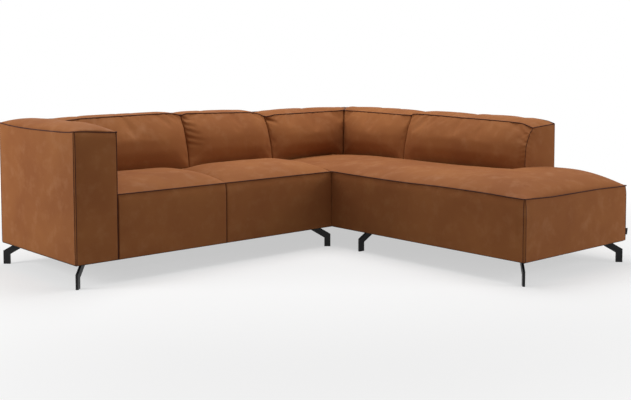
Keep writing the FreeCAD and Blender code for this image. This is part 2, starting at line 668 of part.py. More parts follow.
def right_section():
    """One long seat with backs on two sides, open at the front end."""
    x_inner = f"({SPLIT} + {SKIN})"
    x_outer = f"({RIGHT} - {SKIN})"
    y_end = f"({END} + {SKIN})"
    y_rear = f"({REAR} - {SKIN})"
    y_back = f"({SIDE_BACK_END} + {SKIN})"
    between = (f"({x_inner} + {RAIL})", f"({x_outer} - {RAIL})")
    z = (FRAME, DECK)
    keep(group("right_side_rails", [
        board("right_inner_rail", span(x_inner, RAIL), (y_end, y_rear), z),
        board("right_outer_rail", back_span(x_outer, RAIL), (y_end, y_rear), z),
    ]), "right_side_rails")
    keep(group("right_end_rails", [
        board("right_front_rail", between, span(y_end, RAIL), z),
        board("right_rear_rail", between, back_span(y_rear, RAIL), z),
    ]), "right_end_rails")
    cross_y = f"({MID_LEG} + sizes.mid_block_width / 2)"
    keep(group("right_deck_rails", [
        board("right_side_deck_rail", span(SIDE_BACK_FACE, RAIL),
              (SIDE_BACK_END, f"({BACK_FACE} + {RAIL})"), z),
        board("right_rear_deck_rail", (between[0], SIDE_BACK_FACE), span(BACK_FACE, RAIL), z),
        board("right_middle_cross_rail", (between[0], SIDE_BACK_FACE), span(cross_y, RAIL), z),
        board("right_back_end_rail", between, back_span(SIDE_BACK_END, RAIL), z),
    ]), "right_deck_rails")

    block = "sizes.leg_block"
    near_x = span(between[0], block)
    far_x = back_span(between[1], block)
    near_y = span(f"({y_end} + {RAIL})", block)
    far_y = back_span(f"({y_rear} - {RAIL})", block)
    half = "sizes.mid_block_width / 2"
    middle_y = (f"({MID_LEG} - {half})", f"({MID_LEG} + {half})")
    corners = {
        "rear_joint": (near_x, far_y), "rear_corner": (far_x, far_y),
        "middle_inner": (span(between[0], "sizes.mid_block_length"), middle_y),
        "middle_outer": (back_span(between[1], "sizes.mid_block_length"), middle_y),
        "end_inner": (near_x, near_y), "end_outer": (far_x, near_y),
    }
    blocks = group("right_blocks", [
        board(f"right_block_{name}", x, y, span(FRAME, "sizes.leg_board"))
        for name, (x, y) in corners.items()
    ])
    keep(cut("right_leg_blocks", blocks, bolt_holes("right_block_holes", RIGHT_LEGS)),
         "right_leg_blocks")

    wire_start = f"({between[0]} - sizes.spring_bearing)"
    springs("right_seat_springs", [
        (SIDE_BACK_END, BACK_FACE, wire_start, f"({SIDE_BACK_FACE} + sizes.spring_bearing)",
         CHAISE_SPRING_COUNT, 0),
        (f"({y_end} + {RAIL})", f"({SIDE_BACK_END} - {RAIL})", wire_start,
         f"({between[1]} + sizes.spring_bearing)", END_SPRING_COUNT, 0),
    ])

    def notch(inset, name):
        return board(f"right_notch_{name}", (f"({SIDE_BACK_FACE} - {inset})", f"({RIGHT} + {REACH})"),
                     (f"({SIDE_BACK_END} - {inset})", f"({REAR} + {REACH})"),
                     (f"({BOTTOM} - {REACH})", f"(sizes.back_height + {REACH})"))

    tuck = f"({FRONT} + {RAIL})"
    leather = "sizes.leather"
    seat(1, (SPLIT, RIGHT), (END, BACK_FACE), "sizes.chaise_seam", "sizes.chaise_crown", notch, [
        (span(SPLIT, leather), (END, tuck)),
        ((SPLIT, RIGHT), span(END, leather)),
        (back_span(RIGHT, leather), (END, SIDE_BACK_END)),
    ])
    pad_z = (FRAME, FOAM)
    keep(group("right_border_pads", [
        board("right_pad_inner", (f"({SPLIT} + {leather})", x_inner), (y_end, tuck), pad_z),
        board("right_pad_end", (f"({SPLIT} + {leather})", f"({RIGHT} - {leather})"),
              (f"({END} + {leather})", y_end), pad_z),
        board("right_pad_outer", (x_outer, f"({RIGHT} - {leather})"), (y_end, y_back), pad_z),
    ]), "right_border_pads")

    post = "sizes.post_width"
    post_y = back_span(y_rear, RAIL)
    post_x = back_span(x_outer, RAIL)
    post_z = (DECK, f"({TOP_RAIL} - {RAIL})")
    rail_z = (post_z[1], TOP_RAIL)
    half = "sizes.post_width / 2"
    keep(group("right_back_frame", [
        board("right_post_joint", span(x_inner, post), post_y, post_z),
        board("right_post_corner", back_span(x_outer, post), post_y, post_z),
        board("right_post_side", post_x,
              (f"({SIDE_BACK_SPLIT} - {half})", f"({SIDE_BACK_SPLIT} + {half})"), post_z),
        board("right_post_end", post_x, span(y_back, post), post_z),
        board("right_rear_top_rail", (x_inner, x_outer), post_y, rail_z),
        board("right_side_top_rail", post_x, (y_back, post_y[0]), rail_z),
    ]), "right_back_frame")
    strap_y = back_span(post_y[0], "sizes.strap")
    strap_x = back_span(post_x[0], "sizes.strap")
    keep(group("right_back_straps",
               straps("right_rear_strap", (x_inner, x_outer), strap_y)
               + straps("right_side_strap", strap_x, (y_back, strap_y[0]))),
         "right_back_straps")
    panel_z = (FRAME, TOP_RAIL)
    keep(group("right_back_panels", [
        board("right_rear_panel", (SPLIT, f"({RIGHT} - {leather})"),
              (y_rear, f"({REAR} - {leather})"), panel_z),
        board("right_side_panel", (x_outer, f"({RIGHT} - {leather})"), (y_back, y_rear), panel_z),
    ]), "right_back_panels")
    cover_z = (BOTTOM, "sizes.back_height")
    sheet_block = board("right_sheet_block", (SPLIT, RIGHT), (SIDE_BACK_END, REAR), cover_z)
    sheet_room = board("right_sheet_room", (f"({SPLIT} - {REACH})", f"({RIGHT} - {leather})"),
                       (f"({SIDE_BACK_END} - {REACH})", f"({REAR} - {leather})"), cover_z)
    keep(cut("right_rear_cover", sheet_block, sheet_room), "right_rear_cover")
    back("right", 1, SPLIT, REAR, -90, "sizes.right_width", "far")
    back("right", 2, RIGHT, REAR, 180, "sizes.corner_back_run", "near")
    back("right", 3, RIGHT, SIDE_BACK_SPLIT, 180, f"({SIDE_BACK_SPLIT} - {SIDE_BACK_END})",
         free_end=True)

    cloth = board("right_cloth", (f"({SPLIT} + {leather})", f"({RIGHT} - {leather})"),
                  (f"({END} + {leather})", f"({REAR} - {leather})"), (BOTTOM, FRAME))
    keep(cut("right_dust_cloth", cloth, plate_windows("right_windows", RIGHT_LEGS)),
         "right_dust_cloth")
    legs("right_leg_bolts", RIGHT_LEGS)


def connectors():
    """Hooks on the left section that drop into sockets on the right one."""
    hook_face = f"({LEFT_STOP} - {SKIN})"
    socket_face = f"({SPLIT} + {SKIN})"
    plate = "sizes.hook_plate"
    slack = "sizes.hook_slack"
    level = "sizes.hook_level"
    tip = f"({socket_face} - {plate} - {slack})"
    slot_low = f"({tip} - sizes.hook_thickness - {slack})"
    plate_z = (f"({level} - sizes.hook_plate_height / 2)", f"({level} + sizes.hook_plate_height / 2)")
    hooks = []
    sockets = []
    for i, along in enumerate(("sizes.hook_first", "sizes.hook_second")):
        middle = f"({FRONT} + {along})"
        wide = (f"({middle} - sizes.hook_plate_width / 2)", f"({middle} + sizes.hook_plate_width / 2)")
        narrow = (f"({middle} - sizes.hook_width / 2)", f"({middle} + sizes.hook_width / 2)")
        room = (f"({narrow[0]} - {slack})", f"({narrow[1]} + {slack})")
        cheeks = (f"({room[0]} - {plate})", f"({room[1]} + {plate})")
        hooks.append(fuse(f"hook_{i}", [
            board(f"hook_{i}_plate", span(hook_face, plate), wide, plate_z),
            board(f"hook_{i}_tongue", (hook_face, tip), narrow, span(level, "sizes.hook_thickness")),
            board(f"hook_{i}_tip", back_span(tip, "sizes.hook_thickness"), narrow,
                  (f"({level} - sizes.hook_drop)", f"({level} + sizes.hook_thickness)")),
        ]))
        strap_z = (f"({level} - sizes.hook_drop)", f"({level} - {slack})")
        body = fuse(f"socket_{i}_body", [
            board(f"socket_{i}_plate", back_span(socket_face, plate), wide, plate_z),
            board(f"socket_{i}_strap", (f"({slot_low} - {plate})", socket_face), cheeks, strap_z),
        ])
        slot = board(f"socket_{i}_slot", (slot_low, f"({socket_face} - {plate})"), room,
                     (f"({level} - sizes.hook_plate_height)", f"({level} + sizes.hook_plate_height)"))
        sockets.append(cut(f"socket_{i}", body, slot))
    keep(group("section_hooks", hooks), "section_hooks")
    keep(group("section_sockets", sockets), "section_sockets")


arm()
left_section()
right_section()
connectors()
doc.recompute()

for item in doc.Objects:
    if {"Invalid", "Error"} & set(item.State):
        raise RuntimeError(f"{item.Name} did not build: {item.State}")
for item in finished:
    if item.Shape.isNull() or not item.Shape.isValid():
        raise RuntimeError(f"{item.Label} has no valid shape")

os.makedirs("parts", exist_ok=True)
for item in finished:
    item.Shape.exportStep(f"parts/{item.Label}.step")
print(len(finished), "sub-parts written")
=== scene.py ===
import bisect
import math
from collections import namedtuple

import bmesh
import bpy
import numpy as np
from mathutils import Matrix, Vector, kdtree, noise


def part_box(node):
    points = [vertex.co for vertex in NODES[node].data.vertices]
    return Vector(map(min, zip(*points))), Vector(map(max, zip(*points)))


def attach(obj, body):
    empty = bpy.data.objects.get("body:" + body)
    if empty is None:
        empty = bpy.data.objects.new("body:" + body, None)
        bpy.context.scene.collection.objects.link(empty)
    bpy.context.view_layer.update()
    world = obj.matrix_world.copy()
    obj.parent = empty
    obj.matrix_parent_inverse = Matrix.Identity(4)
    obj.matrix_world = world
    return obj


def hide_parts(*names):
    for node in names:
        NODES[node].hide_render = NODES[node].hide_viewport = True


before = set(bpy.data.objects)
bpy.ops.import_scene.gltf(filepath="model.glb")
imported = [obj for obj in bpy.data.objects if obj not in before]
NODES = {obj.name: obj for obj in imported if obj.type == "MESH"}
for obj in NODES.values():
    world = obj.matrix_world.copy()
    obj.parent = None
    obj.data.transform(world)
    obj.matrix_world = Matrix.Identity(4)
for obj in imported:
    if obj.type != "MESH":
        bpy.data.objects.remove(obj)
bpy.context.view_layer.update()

# The sofa's two bodies
LEFT = "left_section"
RIGHT = "right_section"

# A cover that is filled out as cloth: its form, the vertices that stay where they are, the spare
# leather in it as a share of its width, and how far a vertex may move
Cover = namedtuple("Cover", "form held slack reach")

# Creases in the face of a back. A fold is a set of ripples beside a seam, and a tuck is a hollow
# along a line. run is measured along the back, and z is the height.
Fold = namedtuple("Fold", "run z reach depth pitch tilt")
Tuck = namedtuple("Tuck", "run_0 z_0 run_1 z_1 depth width")

# The extra lines of a form beside a seam, by their distance from it, and the least space between
# two lines
BESIDE_SEAM = (0.0, 0.0022, 0.005, 0.010, 0.017)
LEAST_SPACE = 0.0012

TINY = 1e-9
TUBE_SIDES = 8
SEAM_CREASE = 0.85

# Filling out: spare leather and reach of the seats and of the backs, and the cloth's settings
SEAT_SLACK, SEAT_REACH = 0.004, 0.005
BACK_SLACK, BACK_REACH = 0.008, 0.009
HELD = "held"
FILLING_FRAMES = 14
CLOTH = {"quality": 6, "mass": 0.4, "air_damping": 4, "tension_stiffness": 25,
         "compression_stiffness": 25, "shear_stiffness": 12, "bending_stiffness": 2.5,
         "use_pressure": True, "uniform_pressure_force": 1.0}


# Small sums used by the shapes

def mix(low, high, share):
    """The value a share of the way from low to high."""
    return low + (high - low) * share


def smooth(value, start, stop):
    """Rises from 0 at start to 1 at stop without a kink."""
    share = min(max((value - start) / (stop - start), 0.0), 1.0)
    return share * share * (3 - 2 * share)


def swell(share, power=2.4, fullness=0.62):
    """A crown across a panel: 0 at both of its seams and 1 in the middle."""
    return max(0.0, 1 - abs(2 * share - 1) ** power) ** fullness


def shoulder(distance, reach, fullness=0.62):
    """A crown that starts at one seam only and is full at the given reach."""
    share = min(max(distance / reach, 0.0), 1.0)
    return max(0.0, 1 - (1 - share) ** 2.4) ** fullness


def level(value):
    """The same value at every place."""
    return lambda place: value


def through(points):
    """A smooth line through rising (place, value) points, level beyond both ends."""
    spots = [p[0] for p in points]
    values = [p[1] for p in points]
    last = len(points) - 1
    slopes = [0.0] * len(points)
    for n in range(1, last):
        before = (values[n] - values[n - 1]) / (spots[n] - spots[n - 1])
        after = (values[n + 1] - values[n]) / (spots[n + 1] - spots[n])
        if before * after > 0:
            slopes[n] = 2 * before * after / (before + after)

    def value(at):
        if at <= spots[0]:
            return values[0]
        if at >= spots[-1]:
            return values[-1]
        n = bisect.bisect_right(spots, at) - 1
        wide = spots[n + 1] - spots[n]
        t = (at - spots[n]) / wide
        return ((2 * t ** 3 - 3 * t ** 2 + 1) * values[n]
                + (t ** 3 - 2 * t ** 2 + t) * wide * slopes[n]
                + (3 * t ** 2 - 2 * t ** 3) * values[n + 1]
                + (t ** 3 - t ** 2) * wide * slopes[n + 1])

    return value


def drift(x, y, z, scale, seed):
    """A slow random wave between about -1 and 1, the same on every run."""
    return noise.noise(Vector((x * scale + seed, y * scale - seed, z * scale + 2 * seed)))


def spread(length, step, marks=()):
    """Shares from 0 to 1 along a side: short steps at both ends and at each mark, and even steps
    between."""
    spots = {0.0, length}
    for mark in (0.0, length, *marks):
        for near in BESIDE_SEAM:
            spots.update((mark - near, mark + near))
    inner = sorted(spot for spot in spots if 0.0 <= spot <= length)
    filled = [inner[0]]
    for spot in inner[1:]:
        first = filled[-1]
        parts = max(1, round((spot - first) / step))
        filled.extend(first + (spot - first) * (n + 1) / parts for n in range(parts))
    kept = [filled[0]]
    for spot in filled[1:]:
        if spot - kept[-1] > LEAST_SPACE:
            kept.append(spot)
    kept[-1] = length
    return [spot / length for spot in kept]


def ease(shares, sizes, radius):
    """Rounds the edges of a block. Gives a point's distances from the block's three low faces.
    A face is (axis, side), and radius(face, other) is how round the edge between two faces is."""
    spot = [share * size for share, size in zip(shares, sizes)]
    on = [0 if share == 0 else 1 if share == 1 else None for share in shares]
    fresh = list(spot)
    back = [0.0, 0.0, 0.0]
    for n in range(3):
        if on[n] is None:
            continue
        for m in range(3):
            if m == n:
                continue
            for side in (0, 1):
                distance = spot[m] if side == 0 else sizes[m] - spot[m]
                wide = radius((n, on[n]), (m, side))
                if distance >= wide:
                    continue
                turn = math.radians(45) * (1 - distance / wide)
                back[n] = max(back[n], wide * (1 - math.cos(turn)))
                if on[m] is None:
                    near = wide * (1 - math.sin(turn))
                    fresh[m] = near if side == 0 else sizes[m] - near
    for n in range(3):
        if on[n] == 0:
            fresh[n] = back[n]
        elif on[n] == 1:
            fresh[n] = sizes[n] - back[n]
    return fresh


# Making and working the meshes

class Form:
    """A closed form with three rows of stations, so that a seam can follow one of its lines."""

    def __init__(self, name, rows, place):
        self.rows = rows
        self.last = [len(row) - 1 for row in rows]
        mesh = bmesh.new()
        corners = {}

        def corner(*spot):
            if spot not in corners:
                corners[spot] = mesh.verts.new(place(*(rows[n][spot[n]] for n in range(3))))
            return corners[spot]

        for way in range(3):
            first, second = (way + 1) % 3, (way + 2) % 3
            for side in (0, self.last[way]):
                for i in range(self.last[first]):
                    for j in range(self.last[second]):
                        ring = []
                        for di, dj in ((0, 0), (1, 0), (1, 1), (0, 1)):
                            spot = [0, 0, 0]
                            spot[way], spot[first], spot[second] = side, i + di, j + dj
                            ring.append(corner(*spot))
                        mesh.faces.new(ring if side else ring[::-1])
        mesh.verts.index_update()
        bmesh.ops.recalc_face_normals(mesh, faces=mesh.faces[:])
        self.at = {spot: vertex.index for spot, vertex in corners.items()}
        self.piece = finished_mesh(name, mesh)

    def line(self, i=None, j=None, k=None):
        """The vertices along the one way that is left open, in order. -1 is the last station."""
        fixed = [self.last[n] if f == -1 else f for n, f in enumerate((i, j, k))]
        way = fixed.index(None)
        return [self.at[(*fixed[:way], n, *fixed[way + 1:])] for n in range(self.last[way] + 1)]

    def top_loop(self):
        """The closed loop round the top of the form."""
        return (self.line(j=0, k=-1) + self.line(i=-1, k=-1)[1:]
                + self.line(j=-1, k=-1)[::-1][1:] + self.line(i=0, k=-1)[::-1][1:-1])

    def station(self, way, distance, length):
        """The station that lies nearest to a distance along one way."""
        row = self.rows[way]
        return min(range(len(row)), key=lambda n: abs(row[n] * length - distance))

    def held(self, test):
        """The vertices that the frame, a neighbour or a seam holds."""
        return [index for spot, index in self.at.items()
                if test(*(self.rows[n][spot[n]] for n in range(3)))]


def finished_mesh(name, mesh):
    """A smooth-shaded object made from a working mesh."""
    data = bpy.data.meshes.new(name)
    mesh.to_mesh(data)
    mesh.free()
    data.shade_smooth()
    return placed(name, data)


def placed(name, data):
    """An object in the scene for a mesh, a lamp or the camera."""
    made = bpy.data.objects.new(name, data)
    bpy.context.scene.collection.objects.link(made)
    return made


def vertex_rows(data, what):
    """A row of three numbers for each vertex of a mesh: its co or its normal."""
    flat = np.zeros(len(data.vertices) * 3)
    data.vertices.foreach_get(what, flat)
    return flat.reshape(-1, 3)


def crease(form, line):
    """Keeps a seam sharp when its form is subdivided."""
    seam = {frozenset(pair) for pair in zip(line, line[1:])}
    data = form.piece.data
    sharp = data.attributes.new("crease_edge", "FLOAT", "EDGE")
    for edge in data.edges:
        if frozenset(edge.vertices) in seam:
            sharp.data[edge.index].value = SEAM_CREASE


def fill_out(covers):
    """Fills the covers out as cloth, all at once, and keeps the shape that they take."""
    scene = bpy.context.scene
    starts = [vertex_rows(cover.form.piece.data, "co") for cover in covers]
    for cover in covers:
        piece = cover.form.piece
        piece.vertex_groups.new(name=HELD).add(cover.held, 1.0, "REPLACE")
        cloth = piece.modifiers.new("fill", "CLOTH")
        settings = cloth.settings
        for name, value in CLOTH.items():
            setattr(settings, name, value)
        settings.shrink_min = -cover.slack
        settings.effector_weights.gravity = 0
        settings.vertex_group_mass = HELD
        cloth.point_cache.frame_start = 1
        cloth.point_cache.frame_end = FILLING_FRAMES + 1
    for number in range(1, FILLING_FRAMES + 1):
        scene.frame_set(number)
    graph = bpy.context.evaluated_depsgraph_get()
    ends = [vertex_rows(cover.form.piece.evaluated_get(graph).data, "co") for cover in covers]
    for cover, start, end in zip(covers, starts, ends):
        piece = cover.form.piece
        piece.modifiers.clear()
        piece.vertex_groups.clear()
        move = end - start
        far = np.linalg.norm(move, axis=1, keepdims=True)
        move *= np.minimum(1.0, cover.reach / np.maximum(far, TINY))
        piece.data.vertices.foreach_set("co", (start + move).ravel())
        piece.data.update()
    scene.frame_set(1)


def finer(form):
    """One subdivision, kept in the mesh. The old vertices keep their numbers."""
    piece = form.piece
    extra = piece.modifiers.new("finer", "SUBSURF")
    extra.levels = 1
    extra.render_levels = 1
    graph = bpy.context.evaluated_depsgraph_get()
    made = bpy.data.meshes.new_from_object(piece.evaluated_get(graph))
    piece.modifiers.clear()
    piece.data = made
    made.shade_smooth()


def tube(name, path, radius, closed=False):
    """A welt or a line of thread: a round tube along a row of points."""
    path = [Vector(point) for point in path]
    kept = [path[0]]
    for point in path[1:]:
        # Rings much nearer to each other than this would pinch the tube in a bend
        if (point - kept[-1]).length > radius * 0.8:
            kept.append(point)
    count = len(kept)
    mesh = bmesh.new()
    rings = []
    side = None
    for n, point in enumerate(kept):
        before = kept[n - 1] if n or closed else point
        after = kept[(n + 1) % count] if n < count - 1 or closed else point
        along = (after - before).normalized()
        if side is None:
            side = along.orthogonal()
        side = (side - along * side.dot(along)).normalized()
        over = along.cross(side)
        ring = []
        for m in range(TUBE_SIDES):
            angle = 2 * math.pi * m / TUBE_SIDES
            out = side * math.cos(angle) + over * math.sin(angle)
            ring.append(mesh.verts.new(point + out * radius))
        rings.append(ring)
    for n in range(count if closed else count - 1):
        first, second = rings[n], rings[(n + 1) % count]
        for m in range(TUBE_SIDES):
            after = (m + 1) % TUBE_SIDES
            mesh.faces.new([first[m], first[after], second[after], second[m]])
    if not closed:
        mesh.faces.new(rings[0][::-1])
        mesh.faces.new(rings[-1])
    bmesh.ops.recalc_face_normals(mesh, faces=mesh.faces[:])
    return finished_mesh(name, mesh)


# Places on the CAD model that the upholstery keeps to. All measures are in metres.

seat_low, seat_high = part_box("left_seat_cover_1")
back_low, back_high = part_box("left_back_cover_1")
chaise_low, chaise_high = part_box("right_seat_cover_1")
side_low, side_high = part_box("right_back_cover_3")
rear_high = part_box("left_rear_cover")[1]
arm_inner, front_y, seat_split = seat_low.x, seat_low.y, seat_high.x
left_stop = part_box("left_seat_cover_2")[1].x
back_face, back_split = back_low.y, back_high.x
side_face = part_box("right_back_cover_2")[0].x
side_end, side_split = side_low.y, side_high.y
rear_y, left_rear_top = rear_high.y, rear_high.z
right_rear_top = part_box("right_rear_cover")[1].z

# Heights: the covers' lower edge, the deck that the seats rest on, the seats' front seam, the top
# of the rail inside the backs, and the line at which the backs rise out of the seats
UNDERSIDE = 0.1145
DECK_TOP = 0.2696
SEAT_SEAM = 0.432
TOP_RAIL = 0.7065
BACK_FOOT = 0.44

# How far behind the foot of its face a back ends: at its frame, and where it passes over its frame
FRAME_FACE = 0.2355
BACK_DEEP = 0.2775

# Nominal heights of the forms, by which their lines are spaced
ARM_TALL = 0.635
BORDER_TALL = 0.32
CHAISE_TALL = 0.15
BACK_TALL = 0.468
REAR_TALL = 0.62

# Steps between the lines of a form, from the finest to those of the rear leather
FINE_STEP = 0.011
ARM_STEP = 0.012
LONG_STEP = 0.013
STEP = 0.014
REAR_STEP = 0.022

GAP = 0.0008  # between neighbouring covers
BACK_GAP = 0.0012  # at each end of a back
NOTCH_GAP = 0.001  # where the long seat passes the side back
REAR_LAP = 0.001  # how far a back's rear edge lies below the rear leather's
BORDER = 0.0115  # how thick a front border is
LEATHER = 0.0018  # how thick the bare leather behind is
ROLL = 0.005  # how far a border's top edge rolls in
SEAT_INSET = ROLL * 0.8  # how far a seat's edge lies behind its border
SIDE_ZONE = 0.02  # within this of a side, a place on a border belongs to that side
END_PANEL = 0.0112  # how thick the upholstery at the side back's free end is
WELT = 0.0030  # half the thickness of a welt
THREAD = 0.0016  # half the width of a sewn seam without a welt
TURN_IN = 0.005  # how far from an edge of the arm its side seams run

# How high the tops of the arm and the left seats are crowned, how deep the long seat dips beside
# the side back, and how far the sides that stand free are full
ARM_CROWN = 0.037
SEAT_CROWN = 0.043
SIDE_DIP = 0.016
ARM_SIDE_FULL = 0.004
ARM_FRONT_FULL = 0.0045
BORDER_FULL = 0.0035
CHAISE_BORDER_FULL = 0.0045
CHAISE_SIDE_FULL = 0.009
END_FULL = 0.005
REAR_FULL = 0.0015

# How far random waves move a surface, and how deep the puckers beside a seam are
BORDER_WAVE = 0.0020
BORDER_CRINKLE = 0.0007
SEAT_WAVE = 0.0022
CHAISE_WAVE = 0.0024
BACK_WAVE = 0.0030
ARM_WAVE = 0.0022
ARM_TOP_WAVE = 0.003
ARM_PUCKER = 0.0012
END_PUCKER = 0.0052
FOLD_TALL = 0.10  # how far above and below its height a fold reaches

# How round the edges of the forms are. The free ones are the arm's foot and the side back's end.
TOP_EDGE = 0.006
ARM_EDGE = 0.007
BACK_EDGE = 0.012
FREE_EDGE = 0.008

# How the seats rise from the front seam towards the back, between their side seams
seat_rise = through([(0, 0), (0.025, 0.005), (0.07, 0.012), (0.15, 0.018), (0.26, 0.021),
                     (0.42, 0.019), (0.50, 0.014), (0.54, 0.010)])
# The right section's top seam along its inner side, its end and its free side
wing_seam = through([(-1.10, 0.420), (-0.823, 0.4265), (-0.56, 0.4285), (-0.284, 0.4255),
                     (0.10, 0.429), (0.28, 0.432)])
end_seam = through([(0.375, 0.420), (0.62, 0.413), (0.964, 0.414), (1.235, 0.409)])
outer_seam = through([(-1.10, 0.409), (-0.90, 0.416), (-0.645, 0.428)])
# The height of the long seat along its middle
chaise_crest = through([(-1.10, 0.484), (-0.80, 0.492), (-0.65, 0.490), (-0.46, 0.484),
                        (-0.30, 0.480), (0.39, 0.478), (0.63, 0.470), (0.82, 0.458)])
# The arm's outer top seam
arm_seam = through([(0.28, 0.750), (0.33, 0.745), (0.414, 0.7415), (0.518, 0.740), (0.735, 0.738),
                    (0.932, 0.741), (1.03, 0.746), (1.10, 0.750)])
# How far a back's face stands behind its foot, by its share of the height over the seat: at its
# ends, in its middle, and at the side back's free end
lean_end = through([(0, 0.002), (0.25, 0.010), (0.5, 0.028), (0.75, 0.050), (1, 0.078)])
lean_middle = through([(0, 0.030), (0.10, 0.021), (0.20, 0.004), (0.40, -0.015), (0.55, -0.012),
                       (0.70, 0.003), (0.85, 0.031), (1, 0.072)])
lean_free = through([(0, 0.014), (0.25, 0.014), (0.59, 0.022), (0.87, 0.054), (1, 0.080)])
# The top seams of the five backs, from the arm round to the free end of the side back
back_tops = [
    through([(0, 0.748), (0.05, 0.757), (0.15, 0.764), (0.50, 0.769), (0.66, 0.770), (0.73, 0.765),
             (0.772, 0.754)]),
    through([(0, 0.757), (0.03, 0.764), (0.23, 0.759), (0.49, 0.751), (0.555, 0.741),
             (0.607, 0.724)]),
    through([(0, 0.722), (0.07, 0.730), (0.49, 0.733), (0.60, 0.735)]),
    through([(0, 0.730), (0.30, 0.733), (0.63, 0.735)]),
    through([(0, 0.704), (0.03, 0.713), (0.08, 0.725), (0.18, 0.730), (0.53, 0.736), (0.85, 0.741),
             (0.90, 0.740), (0.925, 0.733)]),
]
# The rear top edge of the left section along x, and how far the right one's droops at its free end
rear_line = through([(0.20, left_rear_top), (0.30, left_rear_top - 0.005),
                     (0.374, left_rear_top - 0.019)])
rear_drop = through([(side_end, 0.020), (side_end + 0.05, 0.008), (side_end + 0.14, 0.0)])


def fuller(x, y):
    """The right section's free outer side stands a little proud towards its end."""
    return x + 0.020 * smooth(x, 0.95, chaise_high.x) * smooth(side_end - y, 0.0, 0.22)


def right_of(way):
    """The way to the right of a way, seen from above."""
    return Vector((way.y, -way.x))


def track(points, radius):
    """A walk along a line with rounded right-angled corners: its length, the distances at which a
    corner starts or stops, and a function for the place and the outward side at each distance.
    Outward is to the right."""
    legs = []
    marks = []
    total = 0.0
    spots = [Vector(p) for p in points]
    for n in range(len(spots) - 1):
        ahead = (spots[n + 1] - spots[n]).normalized()
        start = spots[n] + ahead * (radius if n else 0)
        stop = spots[n + 1] - ahead * (radius if n < len(spots) - 2 else 0)
        length = (stop - start).length
        legs.append(("line", total, length, start, ahead))
        total += length
        if n < len(spots) - 2:
            turn = (spots[n + 2] - spots[n + 1]).normalized()
            legs.append(("arc", total, radius * math.pi / 2, stop, (ahead, turn)))
            marks.append(total)
            total += radius * math.pi / 2
            marks.append(total)

    def walk(distance):
        kind, start, length, spot, way = next(
            (leg for leg in reversed(legs) if distance >= leg[1] - TINY), legs[0])
        run = min(distance - start, length)
        if kind == "line":
            return spot + way * run, right_of(way)
        ahead, turn = way
        angle = run / radius
        centre = spot - right_of(ahead) * radius
        outward = right_of(ahead) * math.cos(angle) + right_of(turn) * math.sin(angle)
        return centre + outward * radius, outward

    return total, marks, walk


# The forms of the upholstery

def border_form(name, points, top_of, seed, thick=BORDER, corner=0.012, ends=(0.004, 0.004),
                roll=ROLL, puff=level(BORDER_FULL), step=STEP, tall=BORDER_TALL):
    """A stuffed panel that stands on edge along a line, from the underside up to its seam. Its top
    edge rolls in, ends is how round its two ends are, and puff is how far its middle stands out."""
    length, marks, walk = track(points, corner)
    rows = [spread(length, step, marks), [0.0, 0.35, 0.7, 1.0], spread(tall, step)]
    soft = min(TOP_EDGE, thick * 0.9)
    outside = (1, 0)
    rounding = {(0, 0): ends[0], (0, 1): ends[1], (2, 0): soft, (2, 1): soft}

    def radius(face, other):
        if face == outside:
            return rounding.get(other, 0.0)
        if other == outside:
            return rounding.get(face, 0.0)
        return 0.0

    def place(a, b, c):
        run, depth, up = ease((a, b, c), (length, thick, tall), radius)
        spot, outward = walk(run)
        z = mix(UNDERSIDE, top_of(spot), up / tall)
        # A corner holds the panel in
        bend = 1.0
        for mark in marks:
            bend = min(bend, smooth(abs(run - mark), -0.01, 0.05))
        bulge = puff(spot) * swell(up / tall, 3, 0.6) * swell(run / length, 8, 0.6) * bend
        bulge += (BORDER_WAVE * drift(spot.x, spot.y, z, 5, seed)
                  * swell(c, 4, 1) * swell(a, 10, 1) * bend)
        bulge += (BORDER_CRINKLE * drift(spot.x, spot.y, z, 18, seed + 3)
                  * swell(c, 4, 1) * swell(a, 10, 1))
        bulge -= roll * (1 - smooth(tall - up, 0.0, 0.045))
        flat = spot + outward * (bulge * (1 - depth / thick) - depth)
        return Vector((fuller(flat.x, flat.y), flat.y, z))

    form = Form(name, rows, place)
    form.marks = [form.station(0, mark, length) for mark in marks]
    return form


def lip(c):
    """How far a seat lies behind the face of its border: nothing at its seam, the border's
    thickness below it."""
    return BORDER * (1 - smooth(c, 0.90, 0.985))


def seat_form(name, cover, seed):
    """A left seat. Its top is crowned between its side seams, and its front lip hangs over the
    border."""
    low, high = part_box(cover)
    x0, x1 = low.x + GAP, high.x - GAP
    y0, y1 = low.y + SEAT_INSET, high.y - GAP
    rows = [spread(x1 - x0, FINE_STEP), spread(y1 - y0, FINE_STEP),
            spread(SEAT_SEAM - DECK_TOP, STEP)]

    def place(a, b, c):
        x = mix(x0, x1, a)
        y = mix(y0, y1, b)
        back = y - y0
        crown = (SEAT_CROWN * swell(a, 4.2, 0.74) * shoulder(back, 0.24, 0.8)
                 * mix(1.0, 0.45, smooth(b, 0.70, 1.0)))
        crown += SEAT_WAVE * drift(x, y, 0.4, 7, seed) * swell(a) * min(1, back * 9)
        top = SEAT_SEAM + seat_rise(back) + crown
        return Vector((x, max(y, y0 + lip(c)), mix(DECK_TOP, top, c)))

    return Form(name, rows, place)


